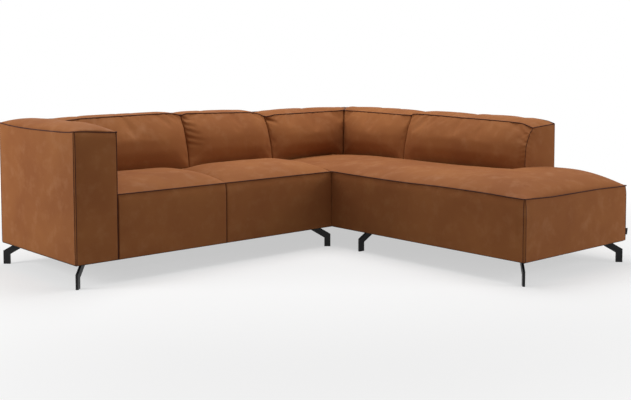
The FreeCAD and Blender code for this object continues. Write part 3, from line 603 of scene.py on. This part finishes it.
def chaise_form():
    """The long seat of the right section, notched where the side back stands."""
    x0, x1 = chaise_low.x + SEAT_INSET, chaise_high.x - SEAT_INSET
    y0, y1 = chaise_low.y + SEAT_INSET, chaise_high.y - GAP
    notch_x = side_face - NOTCH_GAP
    rows = [spread(x1 - x0, LONG_STEP), spread(y1 - y0, LONG_STEP, (side_end - y0,)),
            spread(CHAISE_TALL, STEP)]

    def place(a, b, c):
        y = mix(y0, y1, b)
        beside_seats = y >= front_y
        free = y < side_end - NOTCH_GAP
        inner = chaise_low.x + GAP if beside_seats else x0
        outer = fuller(x1, y)
        x = mix(inner, outer if free else notch_x, a)
        from_left, from_end, from_right = x - inner, y - y0, outer - x
        # The height of the seams, which the end's seam takes over towards the end
        edge = wing_seam(y) + seat_rise(max(y - front_y, 0.0))
        near_end = 1 - smooth(from_end, 0.0, 0.35)
        edge = mix(edge, end_seam(x) + wing_seam(y) - wing_seam(y0), near_end)
        height = chaise_crest(y) - edge
        # The crown over them. Beside the left seats it starts from their height.
        rise = shoulder(from_left, 0.30, 0.75)
        if beside_seats:
            rise = mix(rise, smooth(from_left, -0.06, 0.40), smooth(y, front_y, front_y + 0.1))
        rise *= shoulder(from_end, 0.28, 0.60)
        crown = height * rise
        if free:
            fall = shoulder(from_right, 0.22, 0.50)
            crown *= fall
            edge = mix(edge, outer_seam(y), 1 - fall)
        else:
            crown -= (SIDE_DIP * (1 - smooth(notch_x - x, 0.0, 0.10))
                      * smooth(from_left, 0.1, 0.3))
        crown += (CHAISE_WAVE * drift(x, y, 0.7, 5, 3.0)
                  * min(1, from_left * 7) * min(1, from_end * 7))
        if not beside_seats:
            x = max(x, x0 + lip(c))
        if free:
            x = min(x, outer - lip(c))
        return Vector((x, max(y, y0 + lip(c)), mix(DECK_TOP, edge + crown, c)))

    return Form("chaise_seat", rows, place)


def arm_form():
    """The arm: five panels round its boards, the top one crowned and seamed all round."""
    low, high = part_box("left_arm_cover")
    x0, x1 = low.x, high.x - GAP
    y0, y1 = low.y, high.y
    sizes = (x1 - x0, y1 - y0, ARM_TALL)
    rows = [spread(sizes[0], ARM_STEP), spread(sizes[1], STEP), spread(ARM_TALL, STEP)]
    top, bottom = (2, 1), (2, 0)

    def radius(face, other):
        if top in (face, other):
            return TOP_EDGE
        return FREE_EDGE if bottom in (face, other) else ARM_EDGE

    def place(a, b, c):
        across, along, up = ease((a, b, c), sizes, radius)
        y = y0 + along
        inner_seam = mix(0.737, 0.742, smooth(along, 0, 0.2))
        seam = mix(arm_seam(y), inner_seam, smooth(across, 0, sizes[0]))
        z = mix(UNDERSIDE, seam, up / ARM_TALL)
        if c == 1:
            z += ARM_CROWN * swell(a, 2.2, 0.62) * swell(b, 5, 0.62)
            z += ARM_TOP_WAVE * drift(a * 0.2, y, 0, 7, 5) * swell(a) * swell(b)
        x = x0 + across
        # The outer side and the front are slightly full, and the front's top edge rolls in
        if a == 0:
            x -= ARM_SIDE_FULL * swell(c, 3, 0.6) * swell(b, 4, 0.6)
            x -= ARM_WAVE * drift(0, y, z, 4.5, 1.5) * swell(c, 4, 1) * swell(b, 6, 1)
        if b == 0:
            y -= ARM_FRONT_FULL * swell(c, 6, 0.6) * swell(a, 4, 0.6)
            y -= ARM_WAVE * drift(x, 0, z, 7, 2.5) * swell(c, 4, 1) * swell(a, 6, 1)
            y += ROLL * (1 - smooth(ARM_TALL - up, 0.0, 0.03)) * swell(a, 8, 0.6)
        # Small puckers beside the front inner seam
        if a == 1 and y < front_y + 0.04:
            x += ARM_PUCKER * drift(1, y, z, 22, 4.5) * smooth(z, 0.45, 0.5)
        return Vector((x, y, z))

    form = Form("arm_upholstery", rows, place)
    form.sizes = sizes
    return form


def fold_depth(fold, run, z, seed):
    """How far a fold's ripples push the face of a back in. They fade along the back and above and
    below the fold's height."""
    fold_run, fold_z, reach, depth, pitch, tilt = fold
    off = abs(run - fold_run)
    across = abs(z - fold_z)
    if off >= reach or across >= FOLD_TALL:
        return 0.0
    fade = ((1 - off / reach) ** 1.4 * smooth(off, -0.001, 0.012)
            * (1 - smooth(across, 0.06, FOLD_TALL)))
    wave = math.cos(2 * math.pi * ((z - fold_z) + tilt * off) / pitch
                    + 1.3 * drift(run, z, 1, 16, seed))
    return depth * fade * wave


def tuck_depth(tuck, run, z):
    """How far a tuck pulls the face of a back in. It is deepest where it starts."""
    run_0, z_0, run_1, z_1, depth, width = tuck
    ahead = (run - run_0) * (run_1 - run_0) + (z - z_0) * (z_1 - z_0)
    reach = math.hypot(run_1 - run_0, z_1 - z_0)
    share = min(max(ahead / reach ** 2, 0.0), 1.0)
    off = math.hypot(run - mix(run_0, run_1, share), z - mix(z_0, z_1, share))
    return depth * (1 - share ** 2) * math.exp(-(off / width) ** 2)


def back_form(name, origin, along, inward, length, top_of, rear_of, crest, seed, stop_mitre=0,
              free_end=False, lean=1.0, folds=(), tucks=()):
    """One back. origin is the foot of its face where the run starts, inward points into the back,
    and crest is how far its top is crowned between the front and the rear seam."""
    origin, along, inward = Vector(origin), Vector(along), Vector(inward)
    sizes = (length, BACK_DEEP, BACK_TALL)
    rows = [spread(length, FINE_STEP), spread(BACK_DEEP, LONG_STEP),
            spread(BACK_TALL, FINE_STEP, (TOP_RAIL - DECK_TOP,))]
    start, rear_side, bottom, top = (0, 0), (1, 1), (2, 0), (2, 1)

    def radius(face, other):
        pair = (face, other)
        if rear_side in pair or bottom in pair:
            return 0.0
        if top in pair:
            return TOP_EDGE
        return FREE_EDGE if start in pair and free_end else BACK_EDGE

    def place(a, b, c):
        run, deep, up = ease((a, b, c), sizes, radius)
        front_top = top_of(run)
        share = deep / BACK_DEEP
        z = mix(DECK_TOP, mix(front_top, rear_of(run), share), up / BACK_TALL)
        height = min(max((z - BACK_FOOT) / (front_top - BACK_FOOT), 0.0), 1.0)
        ends = lean_free(height) if free_end and run < length / 2 else lean_end(height) * lean
        middle = lean_middle(height) * (lean if height > 0.7 else 1.0)
        face = mix(ends, middle, swell(run / length, 3.6, 0.75))
        if b == 0:
            face += (BACK_WAVE * drift(run, z, 0, 6, seed)
                     * swell(a, 6, 1) * smooth(z, BACK_FOOT, 0.52))
            for fold in folds:
                face += fold_depth(fold, run, z, seed)
            for tuck in tucks:
                face += tuck_depth(tuck, run, z)
        over_frame = z >= TOP_RAIL or (free_end and run < END_PANEL)
        depth = mix(face, BACK_DEEP if over_frame else FRAME_FACE, share)
        if c == 1:
            z += crest * swell(b, 2.6, 0.62) * swell(a, 8, 0.6)
        if free_end and a == 0:
            # The end panel is full, with puckers beside its front seam
            run -= END_FULL * swell(b, 3, 0.6) * smooth(z, 0.46, 0.55) * swell(c, 8, 0.6)
            pucker = (1 - smooth(deep, 0.0, 0.06)) * smooth(z, 0.47, 0.56)
            ripple = 0.5 + 0.5 * math.cos(2 * math.pi * (z + 0.4 * deep) / 0.027)
            run += END_PUCKER * pucker * ripple
        stop = length + stop_mitre * depth - BACK_GAP
        flat = origin + along * mix(BACK_GAP, stop, run / length) + inward * depth
        return Vector((flat.x, flat.y, z))

    return Form(name, rows, place)


def chaise_border_top(spot):
    """The height of the right border's seam at a place along it."""
    if spot.y > chaise_low.y + SIDE_ZONE:
        if spot.x < chaise_low.x + SIDE_ZONE:
            return wing_seam(spot.y)
        if spot.x > chaise_high.x - SIDE_ZONE:
            return outer_seam(spot.y)
    return end_seam(spot.x)


def chaise_border_puff(spot):
    """The free outer side of the right border is fuller than the rest."""
    return CHAISE_SIDE_FULL if spot.x > chaise_high.x - 0.005 else CHAISE_BORDER_FULL


def right_rear_edge(spot):
    """The height of the right section's rear leather, which droops at the side back's free end."""
    return right_rear_top - (rear_drop(spot.y) if spot.x > chaise_high.x - SIDE_ZONE else 0.0)


def dust_cloth(name, node, seed):
    """The thin cloth under a section: cut like the one in the frame, and sagging a little between
    its staples."""
    mesh = bmesh.new()
    mesh.from_mesh(NODES[node].data)
    mesh.transform(NODES[node].matrix_world)
    for _ in range(7):
        long = [edge for edge in mesh.edges if edge.calc_length() > 0.05]
        if long:
            bmesh.ops.subdivide_edges(mesh, edges=long, cuts=1)
            wide = [face for face in mesh.faces if len(face.verts) > 4]
            bmesh.ops.triangulate(mesh, faces=wide)
    mesh.normal_update()
    rim = [v.co for v in mesh.verts if any(abs(face.normal.z) < 0.7 for face in v.link_faces)]
    edges = kdtree.KDTree(len(rim))
    for number, spot in enumerate(rim):
        edges.insert(spot, number)
    edges.balance()
    for corner in mesh.verts:
        spot = corner.co.copy()
        from_rim = edges.find(spot)[2]
        sag = 0.007 + 0.003 * drift(spot.x, spot.y, 0, 6, seed)
        corner.co.z -= smooth(from_rim, 0.03, 0.28) * sag
        crinkle = 1 + drift(spot.x, spot.y, 0, 30, seed)
        corner.co.z -= 0.0008 * smooth(from_rim, 0.0, 0.04) * crinkle
    return finished_mesh(name, mesh)


def tag_form():
    """The small black tag, a folded strip sewn in at the open end. It is left bare."""
    seam_x = fuller(chaise_high.x, chaise_low.y)

    def place(a, b, c):
        wave = 0.003 * math.sin(3 * a + 1.5 * c)
        thick = mix(0.0012, 0.0022, a)
        return Vector((seam_x + mix(-0.004, 0.026, a),
                       chaise_low.y + 0.012 + wave + (b - 0.5) * thick,
                       mix(0.144, 0.180, c) - 0.003 * a))

    rows = [[n / 10 for n in range(11)], [0.0, 1.0], [n / 8 for n in range(9)]]
    return Form("end_tag", rows, place)


arm = arm_form()
seat_1 = seat_form("left_seat_1", "left_seat_cover_1", 1.0)
seat_2 = seat_form("left_seat_2", "left_seat_cover_2", 4.0)
chaise = chaise_form()
border_1 = border_form("left_border_1", [(arm_inner + GAP, front_y), (seat_split - GAP, front_y)],
                       level(SEAT_SEAM), 1.0, ends=(0.004, 0.008))
border_2 = border_form("left_border_2", [(seat_split + GAP, front_y), (left_stop - GAP, front_y)],
                       level(SEAT_SEAM), 2.0, ends=(0.008, 0.004))
chaise_border = border_form(
    "chaise_border",
    [(chaise_low.x, front_y + 0.02), (chaise_low.x, chaise_low.y), (chaise_high.x, chaise_low.y),
     (chaise_high.x, side_end - GAP)],
    chaise_border_top, 3.0, corner=0.009, ends=(0.002, 0.003), puff=chaise_border_puff)

# The way that a back runs and the way into it: along the rear, and along the free outer side
REAR_WAYS = ((1, 0), (0, 1))
SIDE_WAYS = ((0, 1), (1, 0))
backs = [
    back_form("back_1", (arm_inner, back_face), *REAR_WAYS, back_split - arm_inner,
              back_tops[0], level(left_rear_top - REAR_LAP), 0.004, 1.0, lean=1.12),
    back_form("back_2", (back_split, back_face), *REAR_WAYS, left_stop - back_split,
              back_tops[1], lambda run: rear_line(back_split + run) - REAR_LAP, 0.003, 2.0,
              lean=1.10, folds=[Fold(0.0, 0.665, 0.12, 0.0085, 0.037, 0.25)]),
    back_form("back_3", (chaise_low.x, back_face), *REAR_WAYS, side_face - chaise_low.x,
              back_tops[2], level(right_rear_top - REAR_LAP), 0.012, 3.0, stop_mitre=1,
              tucks=[Tuck(0.004, 0.704, 0.070, 0.672, 0.024, 0.010)]),
    back_form("back_4", (side_face, side_split), *SIDE_WAYS, back_face - side_split,
              back_tops[3], level(right_rear_top - REAR_LAP), 0.014, 4.0, stop_mitre=1),
    back_form("back_5", (side_face, side_end), *SIDE_WAYS, side_split - side_end,
              back_tops[4], lambda run: right_rear_top - REAR_LAP - rear_drop(side_end + run),
              0.010, 5.0, free_end=True,
              folds=[Fold(0.0, 0.60, 0.055, 0.0045, 0.027, 0.4),
                     Fold(0.0, 0.69, 0.09, 0.0055, 0.036, -0.5)]),
]

tag = tag_form()
left_cloth = dust_cloth("left_underside_cloth", "left_dust_cloth", 1.0)
right_cloth = dust_cloth("right_underside_cloth", "right_dust_cloth", 2.0)
bare_leather = {"thick": LEATHER, "ends": (0.001, 0.001), "roll": 0.0, "puff": level(REAR_FULL),
                "step": REAR_STEP, "tall": REAR_TALL}
left_skin = border_form(
    "left_rear_leather", [(left_stop - GAP, rear_y), (arm_inner + GAP, rear_y)],
    lambda spot: rear_line(spot.x), 6.0, **bare_leather)
right_skin = border_form(
    "right_rear_leather",
    [(chaise_high.x, side_end + GAP), (chaise_high.x, rear_y), (chaise_low.x, rear_y)],
    right_rear_edge, 7.0, corner=0.006, **bare_leather)


# Materials

def feed(tree, node, inputs):
    """Gives each named input of a node a value, or connects it to the output that feeds it."""
    for socket, given in inputs.items():
        if isinstance(given, bpy.types.NodeSocket):
            tree.links.new(given, node.inputs[socket])
        else:
            node.inputs[socket].default_value = given


def add_node(tree, kind, inputs, **settings):
    """A new node with its settings and its inputs."""
    made = tree.nodes.new("ShaderNode" + kind)
    for name, value in settings.items():
        setattr(made, name, value)
    feed(tree, made, inputs)
    return made


def blended(tree, share, first, second):
    """A colour between two others."""
    made = add_node(tree, "Mix", {"Factor": share, "A": first, "B": second}, data_type="RGBA")
    return made.outputs["Result"]


def new_material(name):
    """A new material, its nodes and its shader."""
    made = bpy.data.materials.new(name)
    made.use_nodes = True
    return made, made.node_tree, made.node_tree.nodes["Principled BSDF"]


def colour(red, green, blue):
    """A screen colour from 0 to 255, as the linear one that a node takes."""
    return tuple(((v / 255 + 0.055) / 1.055) ** 2.4 if v > 10 else v / 255 / 12.92
                 for v in (red, green, blue)) + (1.0,)


def brushed_leather_group():
    """Brushed leather: broad clouds, lighter rubs and fine nap, with a height for its bump."""
    tree = bpy.data.node_groups.new("brushed_leather", "ShaderNodeTree")
    for name, kind, value in (("Base", "Color", (0.3, 0.13, 0.05, 1)),
                              ("Dark", "Color", (0.15, 0.06, 0.02, 1)),
                              ("Light", "Color", (0.42, 0.2, 0.09, 1)),
                              ("Scale", "Float", 1.0)):
        socket = tree.interface.new_socket(name, in_out="INPUT", socket_type="NodeSocket" + kind)
        socket.default_value = value
    for name, kind in (("Color", "Color"), ("Rough", "Float"), ("Height", "Float")):
        tree.interface.new_socket(name, in_out="OUTPUT", socket_type="NodeSocket" + kind)
    inside = tree.nodes.new("NodeGroupInput").outputs
    outside = tree.nodes.new("NodeGroupOutput")
    spot = add_node(tree, "TexCoord", {}).outputs["Object"]
    sized = add_node(tree, "VectorMath", {0: spot, "Scale": inside["Scale"]}, operation="SCALE")

    def cloud(scale, detail, rough, low, high):
        """Noise that is stretched so that the share between low and high fills 0 to 1."""
        made = add_node(tree, "TexNoise", {"Scale": scale, "Detail": detail, "Roughness": rough,
                                           "Vector": sized.outputs[0]})
        ramp = add_node(tree, "MapRange", {"From Min": low, "From Max": high,
                                           "Value": made.outputs["Fac"]})
        return ramp.outputs["Result"]

    def part(of, share):
        return add_node(tree, "Math", {0: of, 1: share}, operation="MULTIPLY").outputs[0]

    broad = cloud(3.2, 3, 0.55, 0.34, 0.70)
    rubs = cloud(14, 4, 0.6, 0.50, 0.78)
    nap = cloud(420, 3, 0.65, 0.25, 0.75)
    grain = cloud(150, 2, 0.5, 0.3, 0.7)
    clouded = blended(tree, broad, inside["Dark"], inside["Base"])
    rubbed = blended(tree, part(rubs, 0.30), clouded, inside["Light"])
    brushed = blended(tree, part(nap, 0.16), rubbed, inside["Dark"])
    rough = add_node(tree, "MapRange", {"To Min": 0.86, "To Max": 0.66, "Value": rubs})
    height = add_node(tree, "Math", {0: nap, 1: 0.5, 2: grain}, operation="MULTIPLY_ADD")
    feed(tree, outside, {"Color": brushed, "Rough": rough.outputs["Result"],
                         "Height": height.outputs[0]})
    return tree


BRUSHED_LEATHER = brushed_leather_group()


def leather(name, base, dark, light, bump=0.12):
    """Brushed leather in three tones of one colour, with a soft sheen."""
    made, tree, shader = new_material(name)
    hide = add_node(tree, "Group", {}, node_tree=BRUSHED_LEATHER)
    feed(tree, hide, {"Base": base, "Dark": dark, "Light": light, "Scale": 1.0})
    relief = add_node(tree, "Bump", {"Strength": bump, "Distance": 0.0006,
                                     "Height": hide.outputs["Height"]})
    feed(tree, shader, {
        "Base Color": hide.outputs["Color"], "Roughness": hide.outputs["Rough"],
        "Normal": relief.outputs["Normal"], "Specular IOR Level": 0.25, "Sheen Weight": 0.08,
        "Sheen Roughness": 0.45, "Sheen Tint": light})
    return made


def uneven(name, base, other, scale, rough, bump, distance, stretch=(1, 1, 1), metallic=0.0,
           specular=0.5):
    """A plain procedural finish: two tones of one colour, an uneven gloss and a fine relief."""
    made, tree, shader = new_material(name)
    spot = add_node(tree, "TexCoord", {}).outputs["Object"]
    drawn = add_node(tree, "Mapping", {"Scale": stretch, "Vector": spot})
    cloud = add_node(tree, "TexNoise", {"Scale": scale, "Detail": 5,
                                        "Vector": drawn.outputs["Vector"]}).outputs["Fac"]
    gloss = add_node(tree, "MapRange", {"To Min": rough[0], "To Max": rough[1], "Value": cloud})
    relief = add_node(tree, "Bump", {"Strength": bump, "Distance": distance, "Height": cloud})
    feed(tree, shader, {
        "Base Color": blended(tree, cloud, base, other), "Roughness": gloss.outputs["Result"],
        "Normal": relief.outputs["Normal"], "Metallic": metallic, "Specular IOR Level": specular})
    return made


TAN = leather("tan_leather", colour(156, 98, 53), colour(141, 84, 44), colour(174, 118, 70))
WELTING = leather("welt_leather", colour(78, 38, 24), colour(58, 27, 17), colour(98, 52, 34), 0.2)
BLACK_STEEL = uneven("black_steel", colour(15, 15, 16), colour(23, 23, 24), 260, (0.38, 0.52),
                     0.15, 0.0002, specular=0.25)
ZINC = uneven("zinc_steel", colour(168, 170, 172), colour(198, 199, 202), 90, (0.28, 0.45),
              0.1, 0.0002, metallic=1.0)
SPRING = uneven("spring_steel", colour(96, 98, 102), colour(120, 122, 126), 120, (0.3, 0.45),
                0.1, 0.0002, metallic=1.0)
PINE = uneven("pine_rails", colour(205, 168, 118), colour(178, 136, 86), 18, (0.6, 0.8),
              0.2, 0.0005, stretch=(1, 9, 9))
CHIP = uneven("particle_board", colour(178, 146, 104), colour(146, 112, 74), 140, (0.7, 0.9),
              0.25, 0.0005)
WEB = uneven("webbing", colour(58, 48, 40), colour(92, 78, 62), 300, (0.8, 0.95), 0.3, 0.0006)
DUST = uneven("dust_cloth", colour(22, 22, 23), colour(38, 38, 40), 480, (0.85, 0.98),
              0.3, 0.0003)


# Filling out, finish and seams

def seat_held(a, b, c):
    """Only the top of a seat moves, inside its seam."""
    return c < 1 or a in (0.0, 1.0) or b in (0.0, 1.0)


def back_held(a, b, c):
    """Only the face and the top of a back move, between its seams."""
    return (b > 0 and c < 1) or c == 0 or a in (0.0, 1.0) or (c == 1 and b in (0.0, 1.0))


covers = [Cover(form, form.held(seat_held), SEAT_SLACK, SEAT_REACH)
          for form in (seat_1, seat_2, chaise)]
covers += [Cover(form, form.held(back_held), BACK_SLACK, BACK_REACH) for form in backs]
fill_out(covers)

# Each upholstered form with its body, the CAD solids that it stands for and how tightly it is
# padded: the backs are softer than the rest, and the rear leather has no padding
FIRM = 0.9
SOFT = 0.8
dressed = [
    (arm, LEFT, ["left_arm_cover", "left_arm_foam"], FIRM),
    (seat_1, LEFT, ["left_seat_cover_1", "left_seat_foam_1"], FIRM),
    (seat_2, LEFT, ["left_seat_cover_2", "left_seat_foam_2"], FIRM),
    (border_1, LEFT, ["left_front_pad"], FIRM),
    (border_2, LEFT, ["left_front_pad"], FIRM),
    (chaise, RIGHT, ["right_seat_cover_1", "right_seat_foam_1"], FIRM),
    (chaise_border, RIGHT, ["right_border_pads"], FIRM),
    (backs[0], LEFT, ["left_back_cover_1", "left_back_foam_1"], SOFT),
    (backs[1], LEFT, ["left_back_cover_2", "left_back_foam_2"], SOFT),
    (backs[2], RIGHT, ["right_back_cover_1", "right_back_foam_1"], SOFT),
    (backs[3], RIGHT, ["right_back_cover_2", "right_back_foam_2"], SOFT),
    (backs[4], RIGHT, ["right_back_cover_3", "right_back_foam_3"], SOFT),
    (left_skin, LEFT, ["left_rear_cover"], None),
    (right_skin, RIGHT, ["right_rear_cover"], None),
]
for form, body, solids, fill in dressed:
    loop = form.top_loop()
    crease(form, loop + loop[:1])
    finer(form)
    form.piece.data.materials.append(TAN)
    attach(form.piece, body)
    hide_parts(*solids)

for cloth, body, solid in ((left_cloth, LEFT, "left_dust_cloth"),
                           (right_cloth, RIGHT, "right_dust_cloth")):
    cloth.data.materials.append(DUST)
    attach(cloth, body)
    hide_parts(solid)

tag.piece.data.materials.append(DUST)
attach(tag.piece, RIGHT)


def welt(name, form, line, body, radius=WELT, closed=False, out=0.4):
    """A seam along a line of a form's vertices. out is how far its middle stands proud of the
    leather, as a share of its radius."""
    points = vertex_rows(form.piece.data, "co")
    normals = vertex_rows(form.piece.data, "normal")
    made = tube(name, [points[i] + normals[i] * radius * out for i in line], radius, closed)
    made.data.materials.append(WELTING)
    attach(made, body)


welt("arm_top_welt", arm, arm.top_loop(), LEFT, closed=True)
welt("seat_1_welt", seat_1, seat_1.line(j=0, k=-1), LEFT)
welt("seat_2_welt", seat_2, seat_2.line(j=0, k=-1), LEFT)
# The long seat's welt goes round its three open sides, from the left seats to the side back
chaise_long = chaise_high.y - chaise_low.y
inner_stop = chaise.station(1, front_y - chaise_low.y, chaise_long)
free_stop = chaise.station(1, side_end - chaise_low.y, chaise_long)
welt("chaise_welt", chaise, chaise.line(i=0, k=-1)[inner_stop::-1] + chaise.line(j=0, k=-1)[1:]
     + chaise.line(i=-1, k=-1)[1:free_stop + 1], RIGHT)
for number, form in enumerate(backs, 1):
    body = LEFT if number < 3 else RIGHT
    welt("back_%d_welt" % number, form, form.top_loop(), body, closed=True)
welt("border_split_seam", border_1, border_1.line(i=-1, j=0), LEFT, WELT * 0.7, out=-0.2)
welt("back_5_end_seam", backs[4], backs[4].line(i=0, j=0), RIGHT, THREAD)

# The arm's upright seams: two beside each of its outer edges and one beside its front inner edge
outer = arm.station(0, TURN_IN, arm.sizes[0])
inner = arm.last[0] - outer
front = arm.station(1, TURN_IN, arm.sizes[1])
rear = arm.last[1] - front
for name, i, j, radius in (("front_outer", outer, 0, THREAD), ("side_front", 0, front, THREAD),
                           ("front_inner", inner, 0, WELT * 0.8), ("side_rear", 0, rear, THREAD),
                           ("rear_outer", outer, -1, THREAD)):
    welt("arm_seam_" + name, arm, arm.line(i=i, j=j), LEFT, radius, out=0.0)
for name, form in (("chaise_corner_seam", chaise_border), ("rear_corner_seam", right_skin)):
    for number, station in enumerate(form.marks, 1):
        welt("%s_%d" % (name, number), form, form.line(i=station, j=0), RIGHT, THREAD, out=0.0)

# The finish of each CAD solid that no upholstery stands for, by the first of these words that its
# name holds. The others are timber.
FINISHES = (("bolts", ZINC), ("hooks", ZINC), ("sockets", ZINC), ("blocks", PINE),
            ("_leg_", BLACK_STEEL), ("springs", SPRING), ("straps", WEB), ("board", CHIP),
            ("panel", CHIP))
for name, node in NODES.items():
    if not node.hide_render:
        finish = next((finish for word, finish in FINISHES if word in name), PINE)
        node.data.materials.clear()
        node.data.materials.append(finish)


# The studio: a pale floor that fades to white, white surroundings, three lamps and the camera

FLOOR_HALF = 14
FADE_START, FADE_STOP = 1.5, 3.4
WORLD_LIGHT = 0.24
CAMERA_PLACE = (-3.455, -4.027, 1.125)
CAMERA_YAW = 0.740
CAMERA_PITCH = math.radians(4.0)
SENSOR, LENS = 36, 57.5
SHIFT_X, SHIFT_Y = -0.0468, -0.1244


def seen_rays(tree):
    """1 for what the camera and reflections see, and 0 for light on the sofa."""
    rays = add_node(tree, "LightPath", {}).outputs
    made = add_node(tree, "Math", {0: rays["Is Camera Ray"], 1: rays["Is Glossy Ray"]},
                    operation="MAXIMUM")
    return made.outputs[0]


def pale_floor():
    """The floor: grey in the light that it gives back, pale to the eye, and white further out."""
    half = FLOOR_HALF
    data = bpy.data.meshes.new("floor")
    data.from_pydata([(-half, -half, 0), (half, -half, 0), (half, half, 0), (-half, half, 0)],
                     [], [(0, 1, 2, 3)])
    floor = placed("floor", data)
    finish, tree, shader = new_material("pale_floor")
    seen = seen_rays(tree)
    tone = blended(tree, seen, (0.36, 0.36, 0.36, 1), (0.95, 0.95, 0.95, 1))
    feed(tree, shader, {"Roughness": 0.9, "Specular IOR Level": 0.0, "Base Color": tone})
    spot = add_node(tree, "TexCoord", {}).outputs["Object"]
    far = add_node(tree, "VectorMath", {0: spot}, operation="LENGTH").outputs["Value"]
    fade = add_node(tree, "MapRange", {"From Min": FADE_START, "From Max": FADE_STOP,
                                       "To Min": 0.55, "Value": far},
                    interpolation_type="SMOOTHSTEP").outputs["Result"]
    share = add_node(tree, "Math", {0: seen, 1: fade}, operation="MULTIPLY").outputs[0]
    white = add_node(tree, "Emission", {"Strength": 1.0}).outputs["Emission"]
    ground = add_node(tree, "MixShader", {"Fac": share, 1: shader.outputs["BSDF"], 2: white})
    feed(tree, tree.nodes["Material Output"], {"Surface": ground.outputs["Shader"]})
    data.materials.append(finish)


def white_surroundings():
    """A weak even light on the sofa, which the camera and reflections see as white."""
    world = bpy.data.worlds.new("studio")
    bpy.context.scene.world = world
    world.use_nodes = True
    tree = world.node_tree
    light = tree.nodes["Background"]
    feed(tree, light, {"Color": (1, 1, 1, 1), "Strength": WORLD_LIGHT})
    white = add_node(tree, "Background", {"Color": (1, 1, 1, 1), "Strength": 1.0})
    joined = add_node(tree, "MixShader", {"Fac": seen_rays(tree), 1: light.outputs["Background"],
                                          2: white.outputs["Background"]})
    feed(tree, tree.nodes["World Output"], {"Surface": joined.outputs["Shader"]})


def lamp(name, place, aim, width, height, power):
    """A soft lamp that points from its place to its aim."""
    data = bpy.data.lights.new(name, "AREA")
    data.shape = "RECTANGLE"
    data.size, data.size_y = width, height
    data.energy = power
    made = placed(name, data)
    made.location = place
    made.rotation_euler = (Vector(aim) - Vector(place)).to_track_quat("-Z", "Y").to_euler()


pale_floor()
white_surroundings()
lamp("overhead", (0.6, 0.5, 3.4), (0.1, 0.2, 0.4), 3.0, 2.4, 86)
lamp("left_side", (-3.4, 1.5, 1.3), (-1.2, 0.6, 0.4), 1.2, 1.2, 46)
lamp("front_right", (2.6, -3.9, 1.3), (0.8, -1.1, 0.3), 1.8, 1.8, 54)

camera = placed("camera", bpy.data.cameras.new("camera"))
camera.location = CAMERA_PLACE
look = Vector((math.sin(CAMERA_YAW) * math.cos(CAMERA_PITCH),
               math.cos(CAMERA_YAW) * math.cos(CAMERA_PITCH), -math.sin(CAMERA_PITCH)))
camera.rotation_euler = look.to_track_quat("-Z", "Y").to_euler()
camera.data.sensor_width, camera.data.lens = SENSOR, LENS
camera.data.shift_x, camera.data.shift_y = SHIFT_X, SHIFT_Y
bpy.context.scene.camera = camera
bpy.context.scene.view_settings.view_transform = "Standard"
